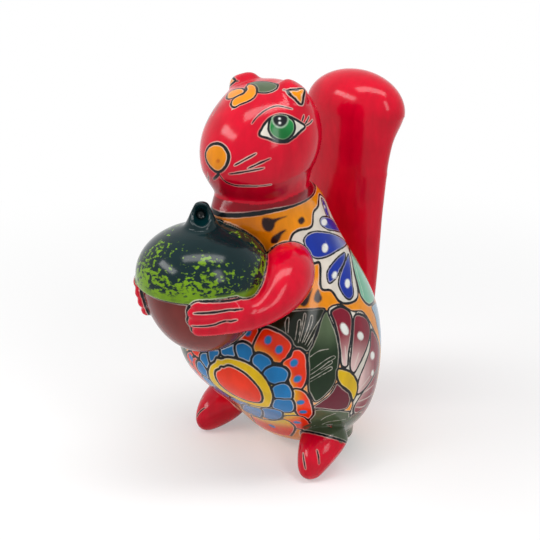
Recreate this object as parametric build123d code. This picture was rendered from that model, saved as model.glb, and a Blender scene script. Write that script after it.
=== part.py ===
"""Seated squirrel holding an acorn: a hollow glazed earthenware figure.

The figure is put together from moulded clay pieces that are luted with slip before firing:
torso, head, ears, tail, arms, feet, and the acorn's nut, cap and stem.
Units are millimetres. +Z is up, the squirrel faces -Y and its left side is +X.
The origin is on the floor, at the middle of the torso's flat foot.
"""

import os
from math import atan2, cos, degrees, radians, sin, sqrt

from build123d import *

# Clay wall, and the holes that let air out of each hollow in the kiln
WALL = 5.0
FOOT_VENT_DIAMETER = 10.0
FOOT_VENT_BACK = 11.0
JOINT_VENT_DIAMETER = 6.0

# Torso: level oval sections from the flat foot up to the neck, each with its own middle in Y
FOOT_WIDTH = 65.0
FOOT_DEPTH = 43.0
HAUNCH_HEIGHT = 24.0
HAUNCH_WIDTH = 97.0
HAUNCH_DEPTH = 79.0
HAUNCH_MIDDLE = -15.3
FLANK_HEIGHT = 53.0
FLANK_WIDTH = 125.0
FLANK_DEPTH = 114.0
FLANK_MIDDLE = -26.0
BELLY_HEIGHT = 86.0
BELLY_WIDTH = 126.0
BELLY_DEPTH = 135.0
BELLY_MIDDLE = -32.8
CHEST_HEIGHT = 119.0
CHEST_WIDTH = 112.0
CHEST_DEPTH = 99.0
CHEST_MIDDLE = -30.4
SHOULDER_HEIGHT = 151.0
SHOULDER_WIDTH = 74.0
SHOULDER_DEPTH = 75.0
SHOULDER_MIDDLE = -34.5
NECK_HEIGHT = 184.0
NECK_WIDTH = 48.0
NECK_DEPTH = 46.0
NECK_MIDDLE = -47.0

# Head: an ellipsoid about a snout axis that dips to the nose, let down over the neck
HEAD_RADIUS = 33.5
HEAD_WIDTH = 70.0
HEAD_LENGTH = 82.0
HEAD_SEAT = 7.8
HEAD_FORWARD = 3.4
HEAD_DIP = 39.0

# Ears: blunt tapering lugs that lean outwards and back from the crown
EAR_WIDTH = 34.0
EAR_THICKNESS = 21.0
EAR_TIP_WIDTH = 17.0
EAR_TIP_THICKNESS = 12.0
EAR_RISE = 8.0
EAR_ROOT = 11.0
EAR_SIDE_ANGLE = 30.0
EAR_BACK_ANGLE = 12.0

# Acorn: a cup-shaped nut and a domed cap about one upright axis
NUT_RADIUS = 36.5
NUT_DEPTH = 49.0
NUT_RIM_HEIGHT = 141.0
ACORN_BITE = 15.9
CAP_OVERHANG = 3.0
CAP_RISE = 29.5
CAP_LIP = 5.0
STEM_RADIUS = 10.0
STEM_FLARE = 2.5
STEM_TIP_RADIUS = 3.5
STEM_LENGTH = 13.5
STEM_DISH = 3.5
STEM_DISH_WIDTH = 9.5
STEM_DISH_HEIGHT = 14.0
STEM_TURN = 48.0

# Arms: round limbs from the shoulder to the palm, and fingers laid on the nut
ARM_ROOT_RADIUS = 13.0
ARM_ROOT_INSET = 9.0
ARM_ROOT_FORWARD = 20.5
ARM_ROOT_DROP = 9.0
ELBOW_RADIUS = 14.5
ELBOW_STANDOFF = 4.5
ELBOW_FORWARD = 43.5
ELBOW_DROP = 16.5
WRIST_RADIUS = 9.5
WRIST_ANGLE = 98.0
WRIST_STANDOFF = 8.0
PALM_HEIGHT = 25.0
PALM_THICKNESS = 13.0
PALM_ANGLE = 70.0
PALM_STANDOFF = 3.0
PALM_DROP = 13.5
FINGER_COUNT = 4
FINGER_RADIUS = 3.7
FINGER_PITCH = 5.9
FINGER_STANDOFF = 1.0
FINGER_ROOT_ANGLE = 76.0
FINGER_TIP_ANGLE = 37.0
FINGER_STAGGER = 1.6

# Feet: egg-shaped stubs let into the haunches, pointing down and forwards
PAW_WIDTH = 33.0
PAW_LENGTH = 41.0
PAW_THICKNESS = 27.0
PAW_INSET = 4.5
PAW_SETBACK = 12.8
PAW_HEIGHT = 16.0
PAW_PITCH = 37.0
PAW_TURN_OUT = 2.0

# Tail: an upright paddle up the back that swells to a rounded crown
TAIL_ROOT_HEIGHT = 14.0
TAIL_ROOT_WIDTH = 34.0
TAIL_ROOT_THICKNESS = 24.0
TAIL_ROOT_FORWARD = 6.0
TAIL_WAIST_HEIGHT = 90.0
TAIL_WAIST_WIDTH = 54.0
TAIL_WAIST_THICKNESS = 27.0
TAIL_BLADE_HEIGHT = 150.0
TAIL_BLADE_WIDTH = 62.0
TAIL_BLADE_THICKNESS = 27.0
TAIL_SHOULDER_HEIGHT = 192.0
TAIL_SHOULDER_WIDTH = 68.0
TAIL_SHOULDER_THICKNESS = 31.0
TAIL_SHOULDER_BACK = 2.5
CROWN_WIDTH = 74.0
CROWN_THICKNESS = 44.0
CROWN_HEIGHT = 50.0
CROWN_BACK = 9.5
CROWN_LEDGE = 1.5
TAIL_HEIGHT = 241.0
TAIL_BITE = 18.7

# Places that follow from the sizes above
HEAD_MIDDLE = NECK_MIDDLE - HEAD_FORWARD
HEAD_CENTRE_HEIGHT = NECK_HEIGHT - HEAD_SEAT + HEAD_RADIUS
ACORN_MIDDLE = CHEST_MIDDLE - CHEST_DEPTH / 2 - NUT_RADIUS + ACORN_BITE
CAP_RADIUS = NUT_RADIUS + CAP_OVERHANG
PAW_SIDE = HAUNCH_WIDTH / 2 - PAW_INSET
PAW_MIDDLE = HAUNCH_MIDDLE - HAUNCH_DEPTH / 2 + PAW_SETBACK
TAIL_MIDDLE = BELLY_MIDDLE + BELLY_DEPTH / 2 + TAIL_WAIST_THICKNESS / 2 - TAIL_BITE
CROWN_CENTRE_HEIGHT = TAIL_HEIGHT - CROWN_HEIGHT / 2
ACORN = Pos(0, ACORN_MIDDLE, NUT_RIM_HEIGHT)


def oval(height, width, depth, middle):
    """A level oval section."""
    return Pos(0, middle, height) * Ellipse(width / 2, depth / 2)


def ellipsoid(width, depth, height):
    """An ellipsoid about the origin."""
    return scale(Sphere(0.5), by=(width, depth, height))


def torso_form(inset=0.0):
    """The torso's skin, or its hollow when the sections are drawn in by the wall."""
    cut = 2 * inset
    return loft(
        [
            oval(inset, FOOT_WIDTH - cut, FOOT_DEPTH - cut, 0),
            oval(HAUNCH_HEIGHT + inset, HAUNCH_WIDTH - cut, HAUNCH_DEPTH - cut, HAUNCH_MIDDLE),
            oval(FLANK_HEIGHT, FLANK_WIDTH - cut, FLANK_DEPTH - cut, FLANK_MIDDLE),
            oval(BELLY_HEIGHT, BELLY_WIDTH - cut, BELLY_DEPTH - cut, BELLY_MIDDLE),
            oval(CHEST_HEIGHT, CHEST_WIDTH - cut, CHEST_DEPTH - cut, CHEST_MIDDLE),
            oval(SHOULDER_HEIGHT, SHOULDER_WIDTH - cut, SHOULDER_DEPTH - cut, SHOULDER_MIDDLE),
            oval(NECK_HEIGHT, NECK_WIDTH - cut, NECK_DEPTH - cut, NECK_MIDDLE),
        ]
    )


def head_form(inset=0.0):
    """The head: an ellipsoid along the snout, which dips to the nose."""
    cut = 2 * inset
    egg = ellipsoid(HEAD_WIDTH - cut, HEAD_LENGTH - cut, HEAD_RADIUS * 2 - cut)
    return Pos(0, HEAD_MIDDLE, HEAD_CENTRE_HEIGHT) * Rot(HEAD_DIP, 0, 0) * egg


def ear_form():
    """The left ear: a blunt lug that stands on the crown."""
    lug = loft(
        [
            Pos(0, 0, HEAD_RADIUS - EAR_ROOT) * Ellipse(EAR_WIDTH / 2, EAR_THICKNESS / 2),
            Pos(0, 0, HEAD_RADIUS + EAR_RISE) * Ellipse(EAR_TIP_WIDTH / 2, EAR_TIP_THICKNESS / 2),
        ]
    )
    lug = fillet(lug.faces().sort_by(Axis.Z)[-1].edges(), EAR_TIP_THICKNESS / 2.5)
    lean = Rot(-EAR_BACK_ANGLE, EAR_SIDE_ANGLE, 0)
    return Pos(0, HEAD_MIDDLE, HEAD_CENTRE_HEIGHT) * lean * lug


def half_space(size, side):
    """A large block that lies wholly above or below the level of the nut's rim."""
    return Box(4 * size, 4 * size, 4 * size, align=(Align.CENTER, Align.CENTER, side))


def nut_form(inset=0.0):
    """The nut: half an ellipsoid that hangs from its rim."""
    across = 2 * (NUT_RADIUS - inset)
    bowl = ellipsoid(across, across, 2 * (NUT_DEPTH - inset))
    return ACORN * (bowl & half_space(NUT_DEPTH, Align.MAX))


def dome(radius, rise):
    """A dome that stands on the level of the nut's rim."""
    return ACORN * (ellipsoid(2 * radius, 2 * radius, 2 * rise) & half_space(radius, Align.MIN))


def cap_form():
    """The outside of the cap: a dome, and a rounded lip that hangs below the nut's rim."""
    lip = Cylinder(CAP_RADIUS, CAP_LIP, align=(Align.CENTER, Align.CENTER, Align.MAX))
    lip = fillet(lip.edges().sort_by(Axis.Z)[:1], CAP_OVERHANG / 2)
    return dome(CAP_RADIUS, CAP_RISE) + ACORN * lip


def stem_form():
    """A blunt cone on top of the cap, with a shallow dish scooped out of its flank."""
    stub = loft(
        [
            Pos(0, 0, CAP_RISE - WALL) * Circle(STEM_RADIUS + STEM_FLARE),
            Pos(0, 0, CAP_RISE) * Circle(STEM_RADIUS),
            Pos(0, 0, CAP_RISE + STEM_LENGTH) * Circle(STEM_TIP_RADIUS),
        ],
        ruled=True,
    )
    stub = fillet(stub.faces().sort_by(Axis.Z)[-1].edges(), STEM_TIP_RADIUS / 2)
    slope = degrees(atan2(STEM_RADIUS - STEM_TIP_RADIUS, STEM_LENGTH))
    flank = (STEM_RADIUS + STEM_TIP_RADIUS) / 2
    scoop = Rot(-slope, 0, 0) * ellipsoid(STEM_DISH_WIDTH, 2 * STEM_DISH, STEM_DISH_HEIGHT)
    scoop = Rot(0, 0, STEM_TURN) * Pos(0, -flank, CAP_RISE + STEM_LENGTH / 2) * scoop
    return ACORN * (stub - scoop)


def paw_form():
    """The left foot, cut flat where it stands."""
    aim = Rot(0, 0, PAW_TURN_OUT) * Rot(PAW_PITCH, 0, 0)
    stub = aim * ellipsoid(PAW_WIDTH, PAW_LENGTH, PAW_THICKNESS)
    stub = Pos(PAW_SIDE, PAW_MIDDLE, PAW_HEIGHT) * stub
    reach = 4 * PAW_LENGTH
    below = Pos(PAW_SIDE, PAW_MIDDLE, -reach / 2) * Box(reach, reach, reach)
    return stub - below


def on_nut(angle, drop, standoff):
    """A point off the nut's skin, by its angle round from the front and its drop below the rim."""
    radius = NUT_RADIUS * sqrt(1 - (drop / NUT_DEPTH) ** 2) + standoff
    turn = radians(angle)
    return Vector(radius * sin(turn), ACORN_MIDDLE - radius * cos(turn), NUT_RIM_HEIGHT - drop)


def limb():
    """The left arm from inside the shoulder, round the elbow, to the palm beside the nut."""
    shoulder_side = SHOULDER_WIDTH / 2
    stations = [
        Vector(
            shoulder_side - ARM_ROOT_INSET,
            SHOULDER_MIDDLE - ARM_ROOT_FORWARD,
            SHOULDER_HEIGHT - ARM_ROOT_DROP,
        ),
        Vector(
            shoulder_side + ELBOW_STANDOFF,
            SHOULDER_MIDDLE - ELBOW_FORWARD,
            SHOULDER_HEIGHT - ELBOW_DROP,
        ),
        on_nut(WRIST_ANGLE, PALM_DROP, WRIST_STANDOFF),
        on_nut(PALM_ANGLE, PALM_DROP, PALM_STANDOFF),
    ]
    sizes = [
        (ARM_ROOT_RADIUS, ARM_ROOT_RADIUS),
        (ELBOW_RADIUS, ELBOW_RADIUS),
        (WRIST_RADIUS, WRIST_RADIUS),
        (PALM_THICKNESS / 2, PALM_HEIGHT / 2),
    ]
    spine = Spline(*stations)
    sections = []
    for station, (across, tall) in zip(stations, sizes):
        along = spine % spine.param_at_point(station)
        square = Plane(origin=station, x_dir=along.cross(Vector(0, 0, 1)), z_dir=along)
        sections.append(square * Ellipse(across, tall))
    return loft(sections)


def finger(number):
    """One finger, bent round the nut from the palm to a round tip."""
    from_middle = number - (FINGER_COUNT - 1) / 2
    drop = PALM_DROP + from_middle * FINGER_PITCH
    tip_angle = FINGER_TIP_ANGLE + FINGER_STAGGER * from_middle**2
    start = on_nut(FINGER_ROOT_ANGLE, drop, FINGER_STANDOFF)
    middle = on_nut((FINGER_ROOT_ANGLE + tip_angle) / 2, drop, FINGER_STANDOFF)
    end = on_nut(tip_angle, drop, FINGER_STANDOFF)
    path = ThreePointArc(start, middle, end)
    section = Plane(origin=start, z_dir=path % 0) * Circle(FINGER_RADIUS)
    return sweep(section, path) + Pos(end) * Sphere(FINGER_RADIUS)


def arm_form():
    """The left arm with its hand."""
    arm = limb()
    for number in range(FINGER_COUNT):
        arm = arm + finger(number)
    return arm


def tail_form(inset=0.0):
    """The tail: a paddle lofted up the back, with a rounded crown."""
    cut = 2 * inset
    shoulder_middle = TAIL_MIDDLE + TAIL_SHOULDER_BACK
    crown_middle = TAIL_MIDDLE + CROWN_BACK
    root_middle = TAIL_MIDDLE - TAIL_ROOT_FORWARD
    blade = loft(
        [
            oval(TAIL_ROOT_HEIGHT + inset, TAIL_ROOT_WIDTH - cut, TAIL_ROOT_THICKNESS - cut, root_middle),
            oval(TAIL_WAIST_HEIGHT, TAIL_WAIST_WIDTH - cut, TAIL_WAIST_THICKNESS - cut, TAIL_MIDDLE),
            oval(TAIL_BLADE_HEIGHT, TAIL_BLADE_WIDTH - cut, TAIL_BLADE_THICKNESS - cut, TAIL_MIDDLE),
            oval(
                TAIL_SHOULDER_HEIGHT,
                TAIL_SHOULDER_WIDTH - cut,
                TAIL_SHOULDER_THICKNESS - cut,
                shoulder_middle,
            ),
            oval(
                CROWN_CENTRE_HEIGHT,
                CROWN_WIDTH - 2 * CROWN_LEDGE - cut,
                CROWN_THICKNESS - 2 * CROWN_LEDGE - cut,
                crown_middle,
            ),
        ]
    )
    crown = ellipsoid(CROWN_WIDTH - cut, CROWN_THICKNESS - cut, CROWN_HEIGHT - cut)
    return blade + Pos(0, crown_middle, CROWN_CENTRE_HEIGHT) * crown


def vent(diameter, start, direction, length):
    """A round hole from a point along a direction."""
    axis = Plane(origin=start, z_dir=direction)
    return axis * Cylinder(diameter / 2, length, align=(Align.CENTER, Align.CENTER, Align.MIN))


def both_sides(form):
    """A left piece and its mirrored right twin."""
    return {"left": form, "right": mirror(form, about=Plane.YZ)}


def make_parts():
    """Every piece, cut to seat on the piece that carries it."""
    torso = torso_form()
    head = head_form()
    nut = nut_form()
    cap = cap_form()
    foot_vent = vent(FOOT_VENT_DIAMETER, (0, FOOT_VENT_BACK, -WALL), (0, 0, 1), 3 * WALL)
    tail_vent = vent(
        JOINT_VENT_DIAMETER,
        (0, BELLY_MIDDLE, BELLY_HEIGHT),
        (0, 1, 0),
        TAIL_MIDDLE - BELLY_MIDDLE,
    )
    acorn_vent_height = NUT_RIM_HEIGHT - NUT_DEPTH / 3
    acorn_vent = vent(
        JOINT_VENT_DIAMETER,
        (0, ACORN_MIDDLE, acorn_vent_height),
        (0, 1, 0),
        CHEST_MIDDLE - ACORN_MIDDLE,
    )
    cap_hollow = dome(NUT_RADIUS - WALL, CAP_RISE - WALL)
    paws = both_sides(paw_form())
    body = torso - torso_form(WALL) - foot_vent - tail_vent - acorn_vent
    parts = {
        "body_shell": body - paws["left"] - paws["right"],
        "head_shell": head - head_form(WALL) - torso,
        "tail_shell": tail_form() - tail_form(WALL) - torso - tail_vent,
        "acorn_nut": nut - nut_form(WALL) - torso,
        "acorn_cap": cap - cap_hollow - nut - torso,
        "acorn_stem": stem_form() - cap - torso,
    }
    for side, ear in both_sides(ear_form() - head).items():
        parts[f"{side}_ear"] = ear
    for side, paw in paws.items():
        parts[f"{side}_foot"] = paw
    for side, arm in both_sides(arm_form() - torso - nut - cap).items():
        parts[f"{side}_arm"] = arm
    return parts


def main():
    os.makedirs("parts", exist_ok=True)
    for name, part in make_parts().items():
        print(name, len(part.solids()), "solid", round(part.volume), "mm3")
        export_step(part, f"parts/{name}.step")


main()
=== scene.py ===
"""A glazed earthenware squirrel with an acorn, hand painted with flowers and leaves.

The skins are copies of the clay pieces, blended where they are luted together and then parted again at
the joints. The painting is laid on the blended skin as colours and distances per point, which the glaze
materials turn into washes, brushed lines and scratches.
"""

from math import cos, radians, sin, tau

import bpy
import numpy as np
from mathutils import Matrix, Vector
from mathutils.bvhtree import BVHTree
from mathutils.kdtree import KDTree


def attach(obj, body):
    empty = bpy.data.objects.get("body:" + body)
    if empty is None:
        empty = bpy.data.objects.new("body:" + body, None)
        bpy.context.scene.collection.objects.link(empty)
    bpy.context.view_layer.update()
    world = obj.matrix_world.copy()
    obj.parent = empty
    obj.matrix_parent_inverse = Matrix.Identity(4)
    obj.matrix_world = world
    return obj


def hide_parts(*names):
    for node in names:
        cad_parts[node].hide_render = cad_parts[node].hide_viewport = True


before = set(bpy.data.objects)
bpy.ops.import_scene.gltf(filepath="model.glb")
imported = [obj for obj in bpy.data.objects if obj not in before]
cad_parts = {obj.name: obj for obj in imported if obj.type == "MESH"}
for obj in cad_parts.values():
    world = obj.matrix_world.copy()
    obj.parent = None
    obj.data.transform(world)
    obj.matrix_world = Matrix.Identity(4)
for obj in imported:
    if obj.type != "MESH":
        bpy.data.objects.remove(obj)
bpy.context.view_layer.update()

MM = 0.001

# Camera, fitted to the photograph: where it looks, from how far, its angles and the picture's width
LOOK_AT = Vector((0, -0.0423, 0.1258))
CAMERA_DISTANCE = 0.700
CAMERA_AZIMUTH = 42.7
CAMERA_ELEVATION = 21.0
CAMERA_LENS = 74.2
SENSOR = 36.0
PICTURE = 540

# A spot beside the figure is moved towards the figure's middle, in these steps, until it meets the figure
FIGURE_MIDDLE = 290
INWARD_STEPS = 60
INWARD_SHARE = 0.012

# Skin: the grain of the blended mesh, a piece's most triangles, and how far and how often joints are smoothed
GRAIN = 0.8 * MM
TRIANGLE_LIMIT = 185000
SOFTENING = 9
JOINT_REACH = 7.0
JOINT_SOFTENING = 30
NECK_REACH = 16.0
NECK_SOFTENING = 240

# Heights in millimetres between which the tail's crown is smoothed like the neck
CROWN_SPAN = (178, 214)

# What is left fine when a skin is thinned: distances from its lines in millimetres, and steps in its colour
INK_KEPT = 1.6
SCRATCH_KEPT = 1.2
WASH_STEP = 0.03

# A face with more sides than this is a filled hole
HOLE_SIDES = 12

# Heights in millimetres at which each hollow piece is cut into slices that are filled in
HOLLOWS = {
    "body_shell": [0, 8, 16, 26, 38, 52, 66, 80, 96, 112, 130, 147, 160, 172, 184],
    "head_shell": [150, 250],
    "tail_shell": [14, 50, 90, 120, 150, 175, 192, 198, 205, 241],
    "acorn_nut": [80, 141],
    "acorn_cap": [130, 180],
}
SOLIDS = [
    "left_ear",
    "right_ear",
    "left_arm",
    "right_arm",
    "left_foot",
    "right_foot",
    "acorn_stem",
]
NODES = list(HOLLOWS) + SOLIDS
SLOTS = {
    "painted_glaze": ["body_shell"],
    "red_glaze": [
        "head_shell",
        "tail_shell",
        "left_ear",
        "right_ear",
        "left_arm",
        "right_arm",
        "left_foot",
        "right_foot",
    ],
    "acorn_cap_glaze": ["acorn_cap", "acorn_stem"],
    "acorn_nut_glaze": ["acorn_nut"],
}


def light(red, green, blue):
    """A colour as the eye sees it, 0 to 255, turned into amounts of light."""
    return (np.array([red, green, blue]) / 255) ** 2.2


# Colours of the glazes and paints, the dark ones used as painted shade, and the one that each glaze starts
# from
RED = light(202, 0, 42)
ORANGE = light(232, 140, 0)
AMBER = light(196, 100, 6)
YELLOW = light(216, 176, 6)
SCARLET = light(226, 50, 12)
SKY = light(20, 112, 172)
COBALT = light(22, 50, 150)
PALE_BLUE = light(128, 142, 190)
MAROON = light(126, 20, 44)
PINK = light(226, 194, 190)
SEPAL = light(98, 28, 44)
LEAF = light(26, 46, 24)
NIGHT_LEAF = light(24, 32, 20)
SAGE = light(82, 98, 72)
MOSS = light(68, 78, 58)
TURQUOISE = light(110, 176, 146)
MIST = light(130, 165, 190)
CREAM = light(216, 209, 196)
WHITE = light(226, 228, 222)
DROP = light(42, 22, 22)
IRIS = light(34, 132, 66)
DEEP_IRIS = light(20, 105, 50)
GLASS = light(150, 175, 150)
NOSE_GOLD = light(222, 132, 12)
# A dark wine used as painted shade on the neck and the underside of the head
WINE_SHADE = light(90, 4, 20)
# A near black used as painted shade in the stem's dish
PITCH_SHADE = light(4, 10, 12)
INK = light(24, 28, 32)
NUT = light(112, 44, 40)
CAP = light(6, 37, 40)
LIME = light(116, 156, 20)
GROUNDS = {"painted_glaze": ORANGE, "red_glaze": RED, "acorn_cap_glaze": CAP, "acorn_nut_glaze": NUT}

# Widths of the brushed lines and of the scratched ones, in millimetres, and a distance where there is no line
LINE = 1.5
THIN = 1.0
FACE_LINE = 1.3
HAIR_LINE = 0.9
EAR_STROKE = 0.8
NOSE_LINE = 1.7
NOSE_SHADE = 2.2
MOUTH_LINE = 1.8
FINGER_LINE = 1.4
FINE_SCRATCH = 0.45
SCRATCH = 0.6
VEIN_SCRATCH = 0.8
STREAK_SCRATCH = 1.1
TAIL_SCRATCH = 1.2
NO_LINE = 9.0

# Brushed lines along the joints: their widths and the pieces that meet there
JOINT_LINES = [
    (1.7, [("acorn_cap", "acorn_nut")]),
    (2.3, [("left_arm", "acorn_nut"), ("right_arm", "acorn_nut")]),
    (1.0, [("left_arm", "acorn_cap"), ("right_arm", "acorn_cap")]),
    (1.5, [("left_foot", "body_shell"), ("right_foot", "body_shell")]),
    (1.1, [("left_arm", "body_shell"), ("right_arm", "body_shell"), ("tail_shell", "body_shell")]),
    (1.1, [("acorn_cap", "body_shell"), ("acorn_nut", "body_shell")]),
]

# Painted shade within a wash, on the torso's front, the neck, the underside of the head and the stem's dish,
# with the collar line's half width and swell: where each starts and ends, in millimetres or by the skin's
# turn, and its share
THROAT_SHADE_FRONT = (55, 85)
THROAT_SHADE_HEIGHT = (120, 150)
THROAT_SHADE_SHARE = 0.8
COLLAR_SHADE = 0.7
COLLAR_HALF = 0.8
COLLAR_SWELL = 0.5
COLLAR_FRONT = (45, 75)
CHIN_SHADE_TURN = (0.1, 0.8)
CHIN_SHADE_SHARE = 0.65
DISH_SHADE = (4.6, 2.6)
DISH_SHADE_SHARE = 0.8

# Glaze: its streaks, pools, wavering edges and ripples in metres, and its shine
STREAK_SIZE = 0.006
POOL_SIZE = 0.03
WAVER_SIZE = 0.003
RIPPLE_SIZE = 0.018
RIPPLE_HEIGHT = 0.002
ROUGHNESS = 0.14
SHINE = 0.2

# Sponging on the acorn's cap: its dabs and clusters, and the heights between which it fades, in metres
DAB_SIZE = 0.003
CLUSTER_SIZE = 0.022
RIM_BAND = (0.1425, 0.1395)
DAB_THICKENING = (0.166, 0.143)
DAB_TOP = (0.1705, 0.166)

# Studio: light from all round, lamps with their places, widths, heights and watts, and the floor
WORLD_LIGHT = 0.26
LAMPS = {
    "key": ((-0.6, -1.05, 1.0), 0.9, 0.25, 7.5),
    "fill": ((1.1, -0.35, 0.85), 0.25, 0.7, 4.0),
    "top": ((0.2, -0.25, 1.5), 1.4, 0.35, 14.0),
}
LAMP_AIM = Vector((0, -0.04, 0.12))
FLOOR_SIZE = 6.0
FLOOR_TONES = ((0.93, 0.93, 0.93, 1), (0.96, 0.96, 0.96, 1))
FLOOR_CLOUD = 0.5
FLOOR_ROUGHNESS = 0.9
FLOOR_FADE = (0.1, 0.6)
FLOOR_GLOW = (0.35, 1.0)

# Brush strokes, as spots of the picture in pixels: on the face, in the leaves, on the hands and the feet
BROW = [(252, 123.5), (256, 118), (263, 111.8), (271, 107.5), (279, 106), (292, 109)]
LASHES = [
    [(302, 121.5), (304, 115)],
    [(305, 124), (307, 121), (309, 116.5)],
    [(306, 125.5), (310, 123), (312.5, 120)],
]
WHISKERS = [
    [(234.5, 165.5), (245, 159.6), (256, 153.5)],
    [(248, 168.5), (260, 163), (270.5, 158.5)],
    [(229, 174), (246, 171.5), (264, 168)],
]
MOUTH = [(219, 171), (218.5, 174), (216, 177), (213.5, 179.5)]
SMILE = [(219, 173.5), (223.5, 180), (229, 183.5), (237, 185.7), (247, 186), (271, 184.5)]
NIGHT_VEINS = [
    [(286, 334), (285, 324), (287, 318), (289, 319), (288, 333)],
    [(295, 340), (297, 328), (298, 321), (301, 321), (299, 335)],
    [(298, 343), (302, 326), (304, 314), (306, 315), (304, 326), (300, 341)],
    [(302, 343), (308, 327), (311, 316), (313, 317), (311, 327), (304, 342)],
    [(305, 345), (313, 330), (321, 318)],
    [(307, 347), (316, 332), (323, 320)],
]
LEAF_VEINS = [
    [(310, 357), (319, 351), (329, 349)],
    [(310, 371), (324, 361), (333, 356), (335, 358), (325, 364)],
    [(310, 375), (322, 367), (330, 361), (332, 363), (321, 370)],
    [(310, 379), (322, 372), (330, 367), (332, 369), (322, 375), (310, 382)],
]
SAGE_VEINS = [
    [(314, 428), (328, 422), (346, 419)],
    [(316, 430), (332, 428), (350, 428)],
    [(314, 426), (324, 418), (336, 413)],
]
FINGER_LINES = [
    [(194, 313.5), (218, 312), (243, 309)],
    [(192, 326), (214, 325), (237, 320)],
    [(200, 302), (225, 301), (243, 298)],
]
TOE_LINES = [[(303, 453), (304, 461), (305.5, 469)], [(317, 450), (318.5, 457), (319, 464)]]
EYE = (282, 128)
EYE_REACH = 18.0

# Outlines on the torso, as spots of the picture in pixels
# Three numbers give a place out of the picture's sight, in millimetres
NECKLINE = [(233, 209), (247, 214), (258, 215.5), (272, 213), (290, 206), (303, 199), (310, 189)]
BROWN_DROPS = [
    [
        (261, 218), (268, 217), (275, 217.5), (286, 216), (277, 220.5),
        (274, 227), (270, 231.5), (265, 231), (261, 226),
    ],
    [(271, 238), (275, 234), (280, 231), (286, 229.5), (282, 234), (280, 239), (276, 243.5), (271, 243)],
    [
        (296, 221), (298, 217.5), (300, 216.8), (302, 217.5),
        (304, 221), (302, 224.5), (300, 225.2), (298, 224.5),
    ],
    [(300, 304), (303, 300), (307, 296), (310, 291), (312.5, 288), (310, 297), (308, 303), (304, 306.5)],
    [(315, 294), (318, 289), (320.5, 294), (322, 299), (318, 303), (314, 300)],
    [(268, 311), (270, 308), (272, 307), (274, 308), (276, 311), (274, 314), (272, 315), (270, 314)],
]
BACK_LEAF = [
    (350, 254), (354, 270), (358, 286), (362, 298), (370, 305),
    (46, 8, 106), (42, 16, 116), (34, 18, 130), (22, 16, 146), (28, 8, 142),
]
BACK_VEIN = [(353, 258), (358, 276), (364, 297)]
BACK_PATCH = [
    (372, 306), (375, 316), (378, 330), (56, 8, 70), (52, 20, 62), (48, 24, 80), (45, 20, 98),
]
BACK_DROPS = [
    [(52, -74, 88), (49, -77, 84), (50, -76, 77), (54, -72, 80)],
    [(40, 22, 122), (36, 24, 117), (36, 26, 108), (41, 24, 110)],
    [(44, 32, 62), (40, 34, 57), (40, 34, 48), (45, 31, 50)],
    [(34, 24, 36), (31, 25, 32), (32, 24, 25), (36, 22, 28)],
]
WHITE_GROUND = [
    (322, 195.5), (317.5, 196), (316.5, 207), (312, 213), (310.5, 227), (297, 231), (291, 237), (290, 248),
    (303, 256), (313, 263), (320, 264), (321, 288), (331, 290.5), (339, 301), (347, 303.5), (356, 300),
    (358, 292), (354, 272), (351, 256), (24, 4, 152), (18, -4, 168),
]
BLUE_HEART = (350, 247)
BLUE_PETALS = [
    [(319.3, 199), (321, 200), (324, 205), (327, 212), (331, 223), (326, 217), (322, 209), (319.8, 203)],
    [(319, 220), (322, 217), (328, 217.5), (333, 221), (340, 232), (330, 230.5), (324, 228), (320, 225)],
    [
        (303.5, 242), (307, 234.5), (315, 231.5), (325, 232), (336, 235), (346, 241),
        (346, 245), (338, 250.5), (330, 255.5), (320, 258.5), (311, 256),
    ],
    [
        (345, 252.5), (338, 257), (331, 265), (327, 273), (328, 282),
        (331, 283), (336, 278), (341, 269), (345, 260),
    ],
    [
        (348.5, 254), (350.5, 264), (352, 280), (353.5, 294), (350, 299.5),
        (345, 297), (340, 289), (338.5, 282), (341, 272), (345, 262),
    ],
]
BLUE_DOTS = [
    (323, 207.5, 1.8, 5, -25), (323.5, 222.5, 6, 7, -20), (325, 248, 6, 9, 5),
    (334.5, 275, 4.5, 7.5, 20), (347.5, 283.5, 5, 9, 0),
]
DARK_LEAF = [
    (262, 325), (268, 317), (277, 312), (288, 310.5), (300, 309.5), (312, 309), (325, 309), (320, 322),
    (315, 336), (311, 349), (303, 352), (292, 345), (280, 336), (268, 330),
]
GREEN_LEAF = [
    (326, 311), (331, 316), (335, 323), (338, 335), (339.5, 348), (339, 362), (337, 376), (334, 385),
    (328, 393), (316, 402), (311, 396), (308, 388), (308.5, 370), (308, 354), (313, 344), (318, 331),
    (321, 320),
]
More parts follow.
